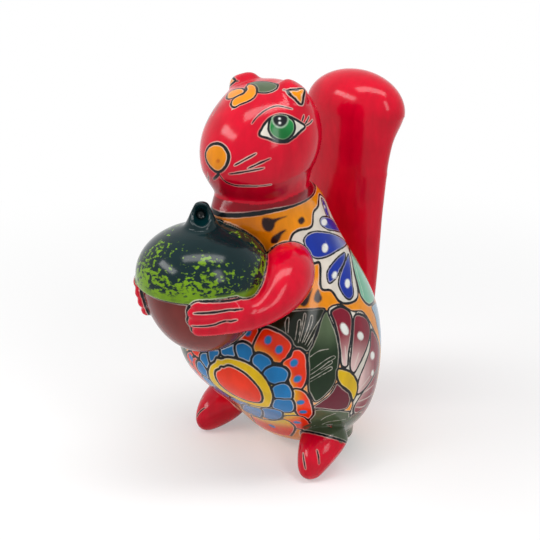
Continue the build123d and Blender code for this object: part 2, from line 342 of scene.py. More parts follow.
# A painted highlight: the green leaf turns paler, to sage, towards this spot at its top
GREEN_LEAF_HIGHLIGHT = (324, 314)
GREY_LEAF = [
    (313, 411), (324, 409), (334, 409), (344, 411), (352, 413), (357, 420),
    (355, 432), (349, 440), (335, 437), (322, 434), (309, 430), (309, 420),
]
GREY_LEAF_FOOT = (310, 430)
FOOT_EDGE = [(301.5, 431), (312, 432.5), (325, 435.5), (337, 439), (346, 442.5)]
FOOT_LEAF = FOOT_EDGE + [(350, 436), (346, 424), (336, 421.5), (322, 424.5), (310, 427.5)]
PALE_GROUND = [
    (328, 311), (340, 304.5), (352, 311), (363, 312), (372, 326), (379, 345), (380, 365), (377, 390),
    (367, 410), (355, 427), (350, 416), (353, 402), (346, 378), (341, 364), (337, 336),
]
MAROON_HEART = (351, 384)
MAROON_PETALS = [
    [(374, 388), (371, 400), (363, 414), (355, 426), (351, 418), (357, 404), (364, 394)],
    [(379, 362), (380, 374), (376, 390), (367, 404), (355, 414), (354, 407), (361, 395), (371, 378)],
    [
        (371, 330), (376, 336), (379.5, 348), (379, 362), (373, 377),
        (364, 390), (357, 394), (359, 379), (365, 364), (370, 348),
    ],
    [
        (354.5, 316), (361, 314.5), (367, 319), (370, 328), (369.5, 338), (366, 350),
        (360, 363), (354, 373), (350, 367), (351.5, 350), (353, 332),
    ],
    [
        (331, 312.5), (337, 307.5), (343, 307), (349, 311), (352, 318), (352, 328), (350.5, 342),
        (348.5, 354), (347.5, 366), (341.5, 365), (340, 350), (338, 337), (335, 324),
    ],
]
MAROON_DOTS = [
    (344.5, 329, 7, 13, -25), (360.5, 336, 6, 8.5, -15),
    (372.5, 355.5, 4, 8, 0), (372.5, 373, 2.4, 6, 10),
]
MAROON_STREAKS = [
    [(357, 392), (364, 384), (371, 374)],
    [(357, 397), (366, 391), (374, 384)],
    [(356, 402), (365, 399), (372, 394)],
    [(355, 407), (362, 407), (368, 403)],
    [(353, 412), (359, 413), (363, 411)],
    [(355, 386), (361, 374), (366, 362)],
    [(353, 372), (356, 362), (359, 352)],
    [(347, 368), (346, 356), (345, 346)],
    [(344, 368), (342, 358), (340, 350)],
]
DARK_SEPAL = [
    (337, 383), (343, 388), (349, 393), (350.5, 400), (347, 408), (338, 410.5),
    (322, 409), (312, 408), (320, 402), (328, 396), (333, 390),
]
YELLOW_CUP = [
    (338, 369), (345, 369.5), (352, 373), (357, 381), (357.5, 390),
    (353, 401), (350, 393), (345, 388.5), (340, 384), (337, 377),
]

# The belly flower: its middle, the line that parts its seen half from the rest, and a spot in the seen half
FLOWER_MIDDLE = (241.5, 385.7)
FLOWER_AXIS = [(222, 369), (260, 403)]
FLOWER_FAR = (275, 355)

# The flower's reach, the dots' radius and how far its shapes are swelled, in millimetres
FLOWER_REACH = 75.0
RED_PETAL_DOT = 2.5
DOT_CORNERS = 12
RED_SWELL = 0.8
BLUE_SWELL = 0.9
DISC_SWELL = 1.0

# How far from the flower's middle the red petals turn from yellow to red, as shares of their reach
RED_START = 0.6
RED_FULL = 0.8

# Which of the petals and dots, by their place in the lists below, have a mirror image out of sight
MIRRORED_RED = slice(0, 3)
MIRRORED_BLUE = slice(1, 6)
MIRRORED_DOTS = slice(0, 5)

# Outlines of the flower's disc, ring, ground and petals
FLOWER_DISC = [
    (221.5, 372), (224, 368.5), (229, 367), (237, 370), (246, 376), (254, 384), (259, 391), (261, 398),
    (259, 402.5), (252, 404), (243, 401), (234, 394), (227, 385), (223, 378),
]
FLOWER_RING = [
    (217, 363), (221, 358.5), (228, 357), (240, 359.5), (252, 365), (262, 374), (269, 384), (273, 395),
    (272, 403), (266, 408), (256, 408.5), (244, 405), (232, 397), (224, 386), (219, 375),
]
FLOWER_GROUND = [
    (205, 351), (222, 345), (236, 342), (262, 346), (284, 362), (295, 385), (300, 408), (296, 420),
    (272, 422), (250, 413), (228, 400), (210, 382), (200, 366),
]
BLUE_RING_PETALS = [
    [(209, 351), (216, 347), (222, 348), (218.5, 354), (216, 362), (213.5, 370), (210.5, 362)],
    [(222, 347), (228, 342), (234, 345), (235, 355), (229, 356.5), (222, 354)],
    [(236, 346), (243, 343), (251, 348), (252, 358), (247, 362), (239, 358)],
    [(253, 358), (259, 354), (268, 358), (271, 364), (266, 370), (260, 371), (254, 366)],
    [(264, 373), (272, 367), (283, 368), (288, 374), (284, 382), (275, 383.5), (268, 380)],
    [(273, 388), (283, 384), (290, 388), (291, 398), (283, 400), (275, 397)],
    [(275, 400), (284, 400), (292, 401), (293, 410), (284, 412), (273, 407)],
    [(262, 409), (271, 409), (281, 412), (280, 418), (270, 419), (262, 415)],
    [(244, 405), (252, 407), (261, 410), (260, 417), (252, 414), (244, 410)],
]
RED_RING_PETALS = [
    [(230, 339), (236, 333), (246, 327), (254, 325), (258, 330), (257, 338), (252, 346), (243, 344)],
    [
        (260, 333), (265, 328.5), (273, 330.5), (282, 335), (289, 341),
        (291, 347), (287, 355), (281, 362), (267, 359), (254, 349),
    ],
    [
        (291, 357), (294, 351), (300, 350.5), (305, 356), (306, 367), (306, 379),
        (302, 387.5), (296, 389.5), (291, 385), (287, 372), (283, 363),
    ],
    [(292, 392), (300, 390.5), (307, 396), (311, 405), (312, 414), (307, 419), (300, 416), (295, 408)],
    [(284, 417), (295, 416), (304, 418), (309, 424), (306, 429), (296, 428), (286, 425)],
    [(252, 416), (262, 419), (274, 421), (285, 420), (294, 428), (286, 437), (270, 434), (258, 427)],
    [(192, 361), (197, 357), (205, 362), (213, 371), (219, 384), (213, 386), (204, 381), (197, 372)],
    [(192, 351), (200, 348.5), (207, 350), (205, 357), (198, 357)],
]
RED_PETAL_DOTS = [
    (248, 332), (268, 340), (279, 349.5), (294, 363), (297.5, 379), (300.5, 402.5), (303, 412),
    (297, 422.5), (272, 426), (200, 368), (208, 377),
]
SIDE_LEAF = [
    (-20, -100, 100), (-30, -95, 104), (-42, -88, 92), (-46, -84, 75),
    (-42, -86, 56), (-34, -88, 40), (-28, -92, 55), (-23, -97, 76),
]
# A painted highlight like the green leaf's: the side leaf turns to sage towards this spot at its top
SIDE_LEAF_HIGHLIGHT = (-26, -96, 102)
SIDE_VEINS = [
    [(-40, -86, 58), (-33, -92, 72), (-31, -94, 84)],
    [(-43, -85, 68), (-36, -90, 80), (-34, -92, 90)],
    [(-35, -90, 48), (-30, -94, 62), (-27, -96, 74)],
]
LOW_LEAF = [(-32, -84, 34), (-18, -88, 34), (-6, -86, 27), (-12, -78, 17), (-24, -76, 19)]

# Outlines on the head
FOREHEAD_LEAF = [
    (248, 84), (253, 82), (262, 81.5), (272, 82.5), (277.5, 84.5),
    (277, 88), (271, 91.8), (264, 93), (257, 92), (253, 88),
]
SCROLLS = [
    [
        (226.5, 97.5), (228, 93.5), (232, 90.5), (238, 88.6), (243.5, 89),
        (244, 92), (239, 95), (232, 98.3), (228, 99),
    ],
    [
        (231, 104.5), (232.5, 100), (237, 96.5), (243, 94), (246.5, 90), (246, 86.8), (250, 84),
        (255.5, 86), (257, 91), (254.5, 97), (248, 101.5), (240, 104.5), (234, 107.5),
    ],
]
SCROLL_TAIL = [(231.5, 110), (235, 107), (240, 104)]
EAR_TRIANGLE = [(287, 91), (296, 89.4), (304, 89), (303.5, 96), (301.5, 104.5), (295, 99)]
EAR_LINE = [(283, 89.5), (289, 92), (295, 99)]
EYE_WHITE = [
    (259.5, 135), (262, 128), (266.5, 121.5), (272, 117), (278, 114.8), (284, 115), (291, 117.3), (298, 121),
    (305, 126.3), (300, 131.5), (295, 136.5), (289, 140.8), (283, 142.3), (276, 141.3), (268, 138.3),
]
EYE_IRIS = [
    (270, 119.5), (275, 116.2), (282, 115), (289, 117), (294, 122), (295, 129),
    (292, 135.5), (286, 140), (279, 140), (272, 136), (268.5, 129),
]
IRIS_FOOT = (282, 136)
PUPIL_RIM = [
    (271.8, 118.5), (275, 115.2), (280, 114.6), (285.5, 115.4), (288.8, 118.5),
    (287.6, 123.8), (283.6, 127.6), (278, 127.9), (273.3, 124.4),
]
PUPIL = [
    (273, 118.5), (275.5, 115.8), (280, 115), (285, 115.8), (287.5, 118.5),
    (286.5, 123), (283, 126.2), (278.5, 126.5), (274.5, 123.5),
]
GLINTS = [(279.5, 118.6, 2.3, 2.1, 0), (279.8, 122.9, 2.5, 2.2, 0)]
NOSE = [
    (213, 144), (219, 143.8), (224.5, 147), (228, 153), (228.3, 160), (226, 166), (222, 170.5),
    (218, 172), (214, 170.5), (209.5, 166), (206.3, 160), (205.5, 153.5), (208, 147.5),
]
NOSE_SIDE = [(224, 147), (228, 153), (228.3, 160), (225, 168)]
NOSTRIL = (218, 161, 4, 4, 0)
FAR_SHIFT = (-3, 11, 0)

# Ears: the left one's tip and the way it is lifted, by how much and how far about it, in millimetres
EAR_TIP = (25.0, -44.0, 239.0)
EAR_WAY = (0.72, 0.1, 0.69)
EAR_LIFT = 3.2
EAR_SPREAD = 14.0

# The stem's dish: its spot in the picture, its depth, width and steepness, and its raised rim, in millimetres
DISH = (200.5, 214.5)
DISH_DEPTH = 3.2
DISH_SPREAD = 4.6
DISH_STEEPNESS = 2.6
DISH_RIM = 1.3
DISH_RIM_AT = 1.6 * DISH_SPREAD
DISH_RIM_WIDTH = 2.2

# Feet: their pitch in degrees, the hundredth of points from which they taper, and shifts in millimetres
TOE_PITCH = 37.0
TOE_START = 15
TOE_TAPER = 0.38
TOE_FORWARD = 3.5
TOE_OUTWARD = 4.5

# Heels: the line of the picture that they are pressed to, the share of what is past it, and its rounding
HEEL_LINE = [(346, 441), (322, 471)]
HEEL_PRESS = 0.75
HEEL_ROUND = 1.5

# Hands: spots of the picture on the knuckles, how far about them and how often the skin is smoothed
KNUCKLES = [(243, 299), (239, 309), (237, 320), (236, 328)]
KNUCKLE_REACH = 11.0
KNUCKLE_SOFTENING = 120

# Neck and shoulders: where and by how much they are filled out, in millimetres, and how often then smoothed
NECK_MIDDLE = (0.0, -45.0, 191.0)
NECK_SWELL = 4.2
NECK_SPREAD = 8.0
NECK_BACK = (-66.0, -42.0)
NECK_SETTLING = 40
SHOULDER_DROP = 19.0
SHOULDER_SWELL = 2.0
SHOULDER_SPREAD = 12.0


def select_only(piece):
    """Makes one object the only selected one, and active."""
    bpy.ops.object.select_all(action="DESELECT")
    piece.select_set(True)
    bpy.context.view_layer.objects.active = piece


def apply_modifier(piece, kind, **settings):
    """Adds a modifier with these settings and applies it."""
    select_only(piece)
    modifier = piece.modifiers.new(kind.lower(), kind)
    for name, value in settings.items():
        setattr(modifier, name, value)
    bpy.ops.object.modifier_apply(modifier=modifier.name)


def copy_of(node):
    """A copy of a clay piece with its loose triangles merged."""
    piece = bpy.data.objects.new(node + "_copy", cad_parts[node].data.copy())
    bpy.context.collection.objects.link(piece)
    select_only(piece)
    bpy.ops.object.mode_set(mode="EDIT")
    bpy.ops.mesh.select_all(action="SELECT")
    bpy.ops.mesh.remove_doubles(threshold=1e-6)
    bpy.ops.object.mode_set(mode="OBJECT")
    return piece


def filled_slice(node, low, high):
    """The part of a hollow piece between two heights, filled in."""
    piece = copy_of(node)
    bpy.ops.object.mode_set(mode="EDIT")
    for height, above in ((low, False), (high, True)):
        bpy.ops.mesh.select_all(action="SELECT")
        bpy.ops.mesh.bisect(
            plane_co=(0, 0, height * MM), plane_no=(0, 0, 1), clear_outer=above, clear_inner=not above
        )
    bpy.ops.mesh.select_all(action="SELECT")
    bpy.ops.mesh.convex_hull()
    bpy.ops.object.mode_set(mode="OBJECT")
    return piece


def joined(pieces, name):
    """Several objects made one."""
    bpy.ops.object.select_all(action="DESELECT")
    for piece in pieces:
        piece.select_set(True)
    bpy.context.view_layer.objects.active = pieces[0]
    if len(pieces) > 1:
        bpy.ops.object.join()
    pieces[0].name = name
    return pieces[0]


def points_of(piece):
    """The mesh's points, as an array in millimetres."""
    flat = np.empty(len(piece.data.vertices) * 3, dtype=np.float32)
    piece.data.vertices.foreach_get("co", flat)
    return flat.reshape(-1, 3).astype(float) / MM


def normals_of(piece):
    """The mesh's point normals."""
    flat = np.empty(len(piece.data.vertices) * 3, dtype=np.float32)
    piece.data.vertex_normals.foreach_get("vector", flat)
    return flat.reshape(-1, 3).astype(float)


def edges_of(piece):
    """The two point numbers of every edge."""
    flat = np.empty(len(piece.data.edges) * 2, dtype=np.int32)
    piece.data.edges.foreach_get("vertices", flat)
    return flat.reshape(-1, 2)


def tree_of(piece):
    """A tree that finds points on an object's skin, in metres."""
    return BVHTree.FromObject(piece, bpy.context.evaluated_depsgraph_get())


def solid_skin(node):
    """One clay piece as a filled, evenly meshed skin."""
    if node in HOLLOWS:
        heights = HOLLOWS[node]
        slices = [filled_slice(node, low, high) for low, high in zip(heights, heights[1:])]
        piece = joined(slices, node + "_filled")
    else:
        piece = copy_of(node)
    apply_modifier(piece, "REMESH", mode="VOXEL", voxel_size=GRAIN)
    return piece


def settled(owner, edges, rounds=10):
    """Owners after each point has a few times taken the side of most of its neighbours."""
    for _ in range(rounds):
        votes = np.zeros((len(owner), len(NODES)), dtype=np.int32)
        votes[np.arange(len(owner)), owner] += 1
        np.add.at(votes, (edges[:, 0], owner[edges[:, 1]]), 1)
        np.add.at(votes, (edges[:, 1], owner[edges[:, 0]]), 1)
        owner = votes.argmax(1)
    return owner


def between(owner, edges, *pairs):
    """The edges that join pieces of these pairs, as pairs of point numbers."""
    first, second = owner[edges[:, 0]], owner[edges[:, 1]]
    chosen = np.zeros(len(edges), dtype=bool)
    for one, other in pairs:
        a, b = NODES.index(one), NODES.index(other)
        chosen |= ((first == a) & (second == b)) | ((first == b) & (second == a))
    return edges[chosen]


def distance_to(points, places, reach):
    """Distance from each point to the nearest of some places, or twice the reach when far off."""
    found = np.full(len(points), 2.0 * reach)
    if len(places) == 0:
        return found
    tree = KDTree(len(places))
    for number, spot in enumerate(places):
        tree.insert(spot, number)
    tree.balance()
    low, high = places.min(0) - reach, places.max(0) + reach
    for number in np.nonzero(((points > low) & (points < high)).all(1))[0]:
        found[number] = min(2.0 * reach, tree.find(points[number])[2])
    return found


def soften(piece, chosen, rounds):
    """Smooths only the chosen points."""
    group = piece.vertex_groups.new(name="soften")
    group.add(np.nonzero(chosen)[0].tolist(), 1.0, "REPLACE")
    apply_modifier(piece, "SMOOTH", factor=0.5, iterations=rounds, vertex_group="soften")
    piece.vertex_groups.clear()


def blended_figure():
    """All the pieces as one softened skin, the owner of each of its points, and the bare torso's tree."""
    skins = [solid_skin(node) for node in NODES]
    torso = tree_of(skins[NODES.index("body_shell")])
    tree = KDTree(sum(len(skin.data.vertices) for skin in skins))
    owners = []
    for number, skin in enumerate(skins):
        for point in points_of(skin):
            tree.insert(point, len(owners))
            owners.append(number)
    tree.balance()
    figure = joined(skins, "figure")
    apply_modifier(figure, "REMESH", mode="VOXEL", voxel_size=GRAIN)
    owner = np.array([owners[tree.find(point)[1]] for point in points_of(figure)])
    edges = edges_of(figure)
    owner = settled(owner, edges)
    apply_modifier(figure, "SMOOTH", factor=0.5, iterations=SOFTENING)
    points = points_of(figure)
    soft_joints = between(
        owner,
        edges,
        ("head_shell", "body_shell"),
        ("head_shell", "left_ear"),
        ("head_shell", "right_ear"),
        ("acorn_stem", "acorn_cap"),
    )
    near_joint = distance_to(points, points[soft_joints].mean(1), JOINT_REACH + 1) < JOINT_REACH
    height = points[:, 2]
    crown = (owner == NODES.index("tail_shell")) & (height > CROWN_SPAN[0]) & (height < CROWN_SPAN[1])
    soften(figure, near_joint, JOINT_SOFTENING)
    neck_joint = between(owner, edges, ("head_shell", "body_shell"))
    neck = distance_to(points, points[neck_joint].mean(1), NECK_REACH + 1) < NECK_REACH
    soften(figure, neck | crown, NECK_SOFTENING)
    return figure, owner, torso


figure, owner, torso_tree = blended_figure()
figure_tree = tree_of(figure)


def camera_axes():
    """Where the camera stands, and its axes to the right, up and back."""
    azimuth = radians(CAMERA_AZIMUTH)
    elevation = radians(CAMERA_ELEVATION)
    back = Vector((sin(azimuth) * cos(elevation), -cos(azimuth) * cos(elevation), sin(elevation)))
    right = Vector((cos(azimuth), sin(azimuth), 0))
    return LOOK_AT + back * CAMERA_DISTANCE, right, back.cross(right), back


def sight(across, down):
    """The direction from the camera through a spot of the picture."""
    _, right, up, back = camera_axes()
    focal = CAMERA_LENS / SENSOR * PICTURE
    return (right * (across - PICTURE / 2) + up * (PICTURE / 2 - down) - back * focal).normalized()


def behind(tree, across, down):
    """The place on a skin behind a spot of the picture, stepping inwards until the skin is met."""
    eye = camera_axes()[0]
    for _ in range(INWARD_STEPS):
        hit = tree.ray_cast(eye, sight(across, down))[0]
        if hit:
            return np.array(hit) / MM
        across += (FIGURE_MIDDLE - across) * INWARD_SHARE
        down += (FIGURE_MIDDLE - down) * INWARD_SHARE
    raise ValueError("no skin behind this spot")


def places_on(tree, spots):
    """Places on a skin: picture spots are cast from the camera, places in space move to the skin."""
    found = []
    for spot in spots:
        if len(spot) == 2:
            found.append(behind(tree, *spot))
        else:
            found.append(np.array(tree.find_nearest(Vector(spot) * MM)[0]) / MM)
    return np.array(found)


def curve(controls, closed, steps=5):
    """A smooth curve through control places."""
    controls = np.asarray(controls, dtype=float)
    count = len(controls)
    last = count if closed else count - 1
    drawn = []
    for index in range(last):
        picks = [index - 1, index, index + 1, index + 2]
        picks = [pick % count if closed else min(max(pick, 0), count - 1) for pick in picks]
        before, start, end, after = controls[picks]
        for step in range(steps):
            t = step / steps
            drawn.append(
                0.5
                * (
                    2 * start
                    + (end - before) * t
                    + (2 * before - 5 * start + 4 * end - after) * t**2
                    + (3 * start - before - 3 * end + after) * t**3
                )
            )
    if not closed:
        drawn.append(controls[-1])
    return np.array(drawn)


def ramp(value, start, end):
    """0 at the start, 1 at the end, and smooth between."""
    t = np.clip((value - start) / (end - start), 0, 1)
    return t * t * (3 - 2 * t)


def mirrors(places, sides):
    """The places themselves, and their mirror images when both sides are painted."""
    return [places] if sides == 1 else [places, places * (-1, 1, 1)]


def refine(node, places, reach, cuts):
    """Cuts the mesh of one piece finer near some places, and gives the new points to that piece."""
    global owner
    number = NODES.index(node)
    places = np.vstack(mirrors(places, 2))
    chosen = (owner == number) & (distance_to(points_of(figure), places, reach + 1) < reach)
    select_only(figure)
    bpy.ops.object.mode_set(mode="EDIT")
    bpy.ops.mesh.select_mode(type="VERT")
    bpy.ops.mesh.select_all(action="DESELECT")
    bpy.ops.object.mode_set(mode="OBJECT")
    figure.data.vertices.foreach_set("select", chosen)
    bpy.ops.object.mode_set(mode="EDIT")
    bpy.ops.mesh.select_mode(type="FACE")
    bpy.ops.mesh.subdivide(number_cuts=cuts)
    bpy.ops.object.mode_set(mode="OBJECT")
    added = len(figure.data.vertices) - len(owner)
    owner = np.concatenate([owner, np.full(added, number)])


def along(tree, strokes):
    """Places on a skin along brush strokes."""
    return np.vstack([curve(places_on(tree, stroke), False) for stroke in strokes])


def soften_knuckles():
    """Smooths the backs of the hands."""
    knuckles = np.vstack(mirrors(places_on(figure_tree, KNUCKLES), 2))
    near = distance_to(points_of(figure), knuckles, KNUCKLE_REACH + 1) < KNUCKLE_REACH
    arms = np.isin(owner, [NODES.index("left_arm"), NODES.index("right_arm")])
    soften(figure, arms & near, KNUCKLE_SOFTENING)


def lift_ears(here):
    """Draws the ears' tips up and out."""
    for side in (1, -1):
        away = np.linalg.norm(here - np.array(EAR_TIP) * (side, 1, 1), axis=1)
        lift = EAR_LIFT * np.exp(-((away / EAR_SPREAD) ** 2))
        here += lift[:, None] * np.array(EAR_WAY) * (side, 1, 1)


def fill_neck(here, joint):
    """Fills out the back of the neck near its joint, and the shoulders."""
    outward = here - np.array(NECK_MIDDLE)
    shoulder = np.exp(-(((outward[:, 2] + SHOULDER_DROP) / SHOULDER_SPREAD) ** 2))
    swell = NECK_SWELL * np.exp(-((joint / NECK_SPREAD) ** 2)) * ramp(here[:, 1], *NECK_BACK)
    swell += SHOULDER_SWELL * shoulder * (owner == NODES.index("body_shell"))
    outward[:, 2] = 0
    here += (swell / np.linalg.norm(outward, axis=1))[:, None] * outward


def hollow_dish(here):
    """Hollows the dish in the acorn's stem and raises its rim."""
    dish = behind(figure_tree, *DISH)
    _, outward, _, _ = figure_tree.find_nearest(Vector(dish) * MM)
    away = np.linalg.norm(here - dish, axis=1)
    rim = DISH_RIM * np.exp(-(((away - DISH_RIM_AT) / DISH_RIM_WIDTH) ** 2))
    sink = DISH_DEPTH * np.exp(-((away / DISH_SPREAD) ** DISH_STEEPNESS))
    here += ((rim - sink) * (owner != NODES.index("head_shell")))[:, None] * np.array(outward)


def shape_feet(here):
    """Tapers the feet to their toes, and presses each heel flat along a line of the picture."""
    near_side = np.sign(behind(figure_tree, *TOE_LINES[0][0])[0])
    eye = np.array(camera_axes()[0]) / MM
    heel = np.array(sight(*HEEL_LINE[1]).cross(sight(*HEEL_LINE[0])).normalized())
    way = np.array([0, -cos(radians(TOE_PITCH)), -sin(radians(TOE_PITCH))])
    for foot, side in (("left_foot", 1), ("right_foot", -1)):
        mine = owner == NODES.index(foot)
        reach = (here[mine] - here[mine].mean(0)) @ way
        share = ramp(reach, np.percentile(reach, TOE_START), reach.max())
        across = here[mine, 0]
        middle = across.mean() + side * TOE_OUTWARD
        here[mine, 0] = across + (middle - across) * TOE_TAPER * share
        here[mine, 1] -= TOE_FORWARD * share
        flip = np.array([side * near_side, 1, 1])
        past = np.maximum((here[mine] * flip - eye) @ heel, 0)
        here[mine] -= (HEEL_PRESS * past**2 / (past + HEEL_ROUND))[:, None] * heel * flip


def reshape():
    """Makes the small changes of form that the blended skin needs."""
    soften_knuckles()
    here = points_of(figure)
    lift_ears(here)
    seam = here[between(owner, edges_of(figure), ("head_shell", "body_shell"))].mean(1)
    joint = distance_to(here, seam, 3 * NECK_SPREAD)
    fill_neck(here, joint)
    hollow_dish(here)
    shape_feet(here)
    figure.data.vertices.foreach_set("co", (here * MM).astype(np.float32).ravel())
    figure.data.update()
    soften(figure, joint < 1.5 * NECK_SPREAD, NECK_SETTLING)


reshape()
figure_tree = tree_of(figure)
refine("head_shell", along(figure_tree, [BROW, MOUTH, SMILE] + LASHES + WHISKERS), reach=2.5, cuts=2)
refine("head_shell", places_on(figure_tree, [EYE]), reach=EYE_REACH, cuts=1)
refine("body_shell", along(torso_tree, NIGHT_VEINS + LEAF_VEINS + SAGE_VEINS), reach=1.8, cuts=2)
for arm in ("left_arm", "right_arm"):
    refine(arm, along(figure_tree, FINGER_LINES), reach=2.2, cuts=2)
for foot in ("left_foot", "right_foot"):
    refine(foot, along(figure_tree, TOE_LINES), reach=2.0, cuts=1)
points = points_of(figure)
normals = normals_of(figure)
edges = edges_of(figure)


def patch_about(centre, normal):
    """A map from space to a flat patch about a place, keeping the distances from that place."""
    side = np.cross((0, 0, 1), normal)
    side /= np.linalg.norm(side)
    rise = np.cross(normal, side)

    def flatten(spots):
        """Spots in space laid flat, each at its own distance from the centre."""
        offset = spots - centre
        flat = np.stack([offset @ side, offset @ rise], -1)
        stretch = np.linalg.norm(offset, axis=1) / (np.linalg.norm(flat, axis=1) + 1e-6)
        return flat * stretch[:, None]

    return flatten


def outline_distance(spots, outline):
    """Distance from flat spots to a closed outline, negative inside it."""
    nearest = np.full(len(spots), 1e12)
    inside = np.zeros(len(spots), dtype=bool)
    x, y = spots[:, 0], spots[:, 1]
    for start, end in zip(outline, np.roll(outline, -1, 0)):
        edge = end - start
        offset = spots - start
        along = np.clip(offset @ edge / (edge @ edge + 1e-12), 0, 1)
        gap = offset - along[:, None] * edge
        nearest = np.minimum(nearest, (gap**2).sum(1))
        crossing = (start[1] > y) != (end[1] > y)
        rise = edge[1] if abs(edge[1]) > 1e-12 else 1e-12
        inside ^= crossing & (x < start[0] + (y - start[1]) * edge[0] / rise)
    away = np.sqrt(nearest)
    return np.where(inside, -away, away)


wash = np.zeros((len(points), 3))
ink = np.full(len(points), NO_LINE)
scratch = np.full(len(points), NO_LINE)


def owned(*nodes):
    """Which points belong to these pieces."""
    return np.isin(owner, [NODES.index(node) for node in nodes])


HEAD = owned("head_shell", "left_ear", "right_ear")
BODY = owned("body_shell")
FEET = owned("left_foot", "right_foot")


def fill_flat(
    chosen, spots, outline, colour, line, root=None, root_colour=None, reach=1.0, start=0.15, grow=0.0
):
    """Paints a closed flat outline: its wash, which may change from a root outwards, and its brushed edge."""
    away = outline_distance(spots, outline) - grow
    tint = np.tile(colour, (len(spots), 1))
    if root is not None:
        far = np.linalg.norm(outline - root, axis=1).max()
        share = ramp(np.linalg.norm(spots - root, axis=1), start * far, reach * far)[:, None]
        tint = root_colour * (1 - share) + tint * share
    cover = ramp(-away, -0.5, 0.5)[:, None]
    wash[chosen] = wash[chosen] * (1 - cover) + tint * cover
    held = np.where(away < 0, NO_LINE, ink[chosen])
    if line:
        held = np.minimum(held, np.abs(away) - line / 2)
    ink[chosen] = held
    scratch[chosen] = np.where(away < 0, NO_LINE, scratch[chosen])


def fill(area, tree, spots, colour, line=LINE, root=None, root_colour=None, reach=1.0, sides=2, facing=0.1):
    """Paints a closed outline that is traced on the picture or placed in space."""
    outline = places_on(tree, spots)
    ends = outline if root is None else np.vstack([outline, places_on(tree, [root])])
    for traced in mirrors(ends, sides):
        border = traced[: len(outline)]
        centre = border.mean(0)
        _, normal, _, _ = tree.find_nearest(Vector(centre) * MM)
        normal = np.array(normal)
        size = np.linalg.norm(border - centre, axis=1).max() + 6
        close = np.linalg.norm(points - centre, axis=1) < size
        chosen = np.nonzero(area & close & (normals @ normal > facing))[0]
        flatten = patch_about(centre, normal)
        flat_root = None if root is None else flatten(traced[len(outline) :])[0]
        fill_flat(
            chosen,
            flatten(points[chosen]),
            curve(flatten(border), True),
            colour,
            line,
            flat_root,
            root_colour,
            reach,
        )


def oval(across, down, wide, tall, turn=0.0, count=10):
    """An oval of picture spots."""
    tilt = radians(turn)
    spots = []
    for step in range(count):
        x = wide / 2 * cos(tau * step / count)
        y = tall / 2 * sin(tau * step / count)
        spots.append((across + x * cos(tilt) - y * sin(tilt), down + x * sin(tilt) + y * cos(tilt)))
    return spots


def brush(layer, area, tree, spots, width, sides=2, taper=0.35, far_shift=(0, 0, 0)):
    """Draws an open line into a layer of distances, thinner to both ends. The far copy may be shifted."""
    traced = places_on(tree, spots)
    for copy, line in enumerate(mirrors(traced, sides)):
        path = curve(line, False)
        path = path + copy * np.array(far_shift)
        path = np.array([np.array(tree.find_nearest(Vector(spot) * MM)[0]) / MM for spot in path])
        low, high = path.min(0) - 6, path.max(0) + 6
        chosen = np.nonzero(area & ((points > low) & (points < high)).all(1))[0]
        spots_here = points[chosen]
        found = layer[chosen]
        pieces = len(path) - 1
        for number, (start, end) in enumerate(zip(path, path[1:])):
            edge = end - start
            offset = spots_here - start
            along = np.clip(offset @ edge / (edge @ edge + 1e-12), 0, 1)
            gap = np.linalg.norm(offset - along[:, None] * edge, axis=1)
            share = (number + along) / pieces
            thick = width * (taper + (1 - taper) * np.sqrt(np.clip(4 * share * (1 - share), 0, 1)))
            found = np.minimum(found, gap - thick / 2)
        layer[chosen] = found


def paint_grounds():
    """The plain wash of every piece, with painted shade in amber on the torso's front below the head and
    behind the acorn.
    """
    for slot, nodes in SLOTS.items():
        wash[owned(*nodes)] = GROUNDS[slot]
    # Painted shade: the torso's front below the head and behind the acorn is turned towards amber
    throat_shade = ramp(-points[:, 1], *THROAT_SHADE_FRONT) * ramp(points[:, 2], *THROAT_SHADE_HEIGHT)
    share = (throat_shade * THROAT_SHADE_SHARE)[:, None] * BODY[:, None]
    wash[:] = wash * (1 - share) + AMBER * share


def paint_collar():
    """The head's red runs down the neck to a broad black line, darkened there by painted shade that is partly
    the glaze's own darker brown-red.
    """
    traced = places_on(torso_tree, NECKLINE)
    traced = np.vstack([traced, traced * (-1, 1, 1)])
    middle = traced.mean(0)
    normal = np.linalg.svd(traced - middle)[2][2]
    normal *= np.sign(normal[2])
    rise = (points - middle) @ normal
    high = BODY & (rise > 0)
    # Painted shade: the neck above the collar line is red turned towards wine, partly the glaze's own darker
    # colour
    wash[high] = (1 - COLLAR_SHADE) * RED + COLLAR_SHADE * WINE_SHADE
    ink[high] = NO_LINE
    scratch[high] = NO_LINE
    half = COLLAR_HALF + COLLAR_SWELL * ramp(-points[:, 1], *COLLAR_FRONT)
    ink[BODY] = np.minimum(ink[BODY], (np.abs(rise) - half)[BODY])


